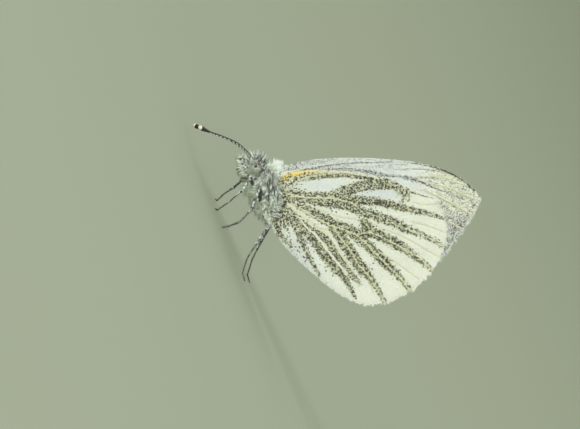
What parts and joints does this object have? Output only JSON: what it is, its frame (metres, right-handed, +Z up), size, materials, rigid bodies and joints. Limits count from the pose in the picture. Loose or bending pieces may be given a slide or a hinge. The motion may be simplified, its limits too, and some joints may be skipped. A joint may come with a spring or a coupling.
{
  "type": "green-veined white butterfly",
  "caption": "Life-size resting butterfly, wings closed over its back, with green-veined white wings, clubbed antennae, furry thorax and splayed legs.",
  "frame": {"origin": "centre of the bounding box in plan, on the floor under the feet", "axes": "+Z up, -X the way the head points, -Y the butterfly's left side, towards the viewer"},
  "size_m": [0.0264, 0.0104, 0.0275],
  "materials": {
    "forewing": "white scales, soft and matt",
    "hindwing": "cream white scales dusted grey-green along the veins",
    "thorax_coat": "long pale grey hair",
    "head_coat": "short grey and white hair",
    "abdomen_coat": "short whitish scales",
    "eye": "smooth pale green-grey",
    "palp": "white bristly hair with dark tips",
    "proboscis": "brown horn",
    "leg": "dark horn under pale scales",
    "antenna": "dark scales with fine white rings",
    "antenna_club": "dark brown scales with a pale tip"
  },
  "bodies": {
    "root": {"abdomen": "abdomen_coat", "antenna_club_left": "antenna_club", "antenna_club_right": "antenna_club", "antenna_left": "antenna", "antenna_right": "antenna", "collar": "thorax_coat", "eye_left": "eye", "eye_right": "eye", "forewing_left": "forewing", "forewing_right": "forewing", "head": "head_coat", "hindwing_left": "hindwing", "hindwing_right": "hindwing", "leg_front_left_femur": "leg", "leg_front_left_tarsus": "leg", "leg_front_left_tibia": "leg", "leg_front_right_femur": "leg", "leg_front_right_tarsus": "leg", "leg_front_right_tibia": "leg", "leg_hind_left_femur": "leg", "leg_hind_left_tarsus": "leg", "leg_hind_left_tibia": "leg", "leg_hind_right_femur": "leg", "leg_hind_right_tarsus": "leg", "leg_hind_right_tibia": "leg", "leg_middle_left_femur": "leg", "leg_middle_left_tarsus": "leg", "leg_middle_left_tibia": "leg", "leg_middle_right_femur": "leg", "leg_middle_right_tarsus": "leg", "leg_middle_right_tibia": "leg", "palp_left": "palp", "palp_right": "palp", "proboscis": "proboscis", "thorax": "thorax_coat"}
  },
  "joints": []
}
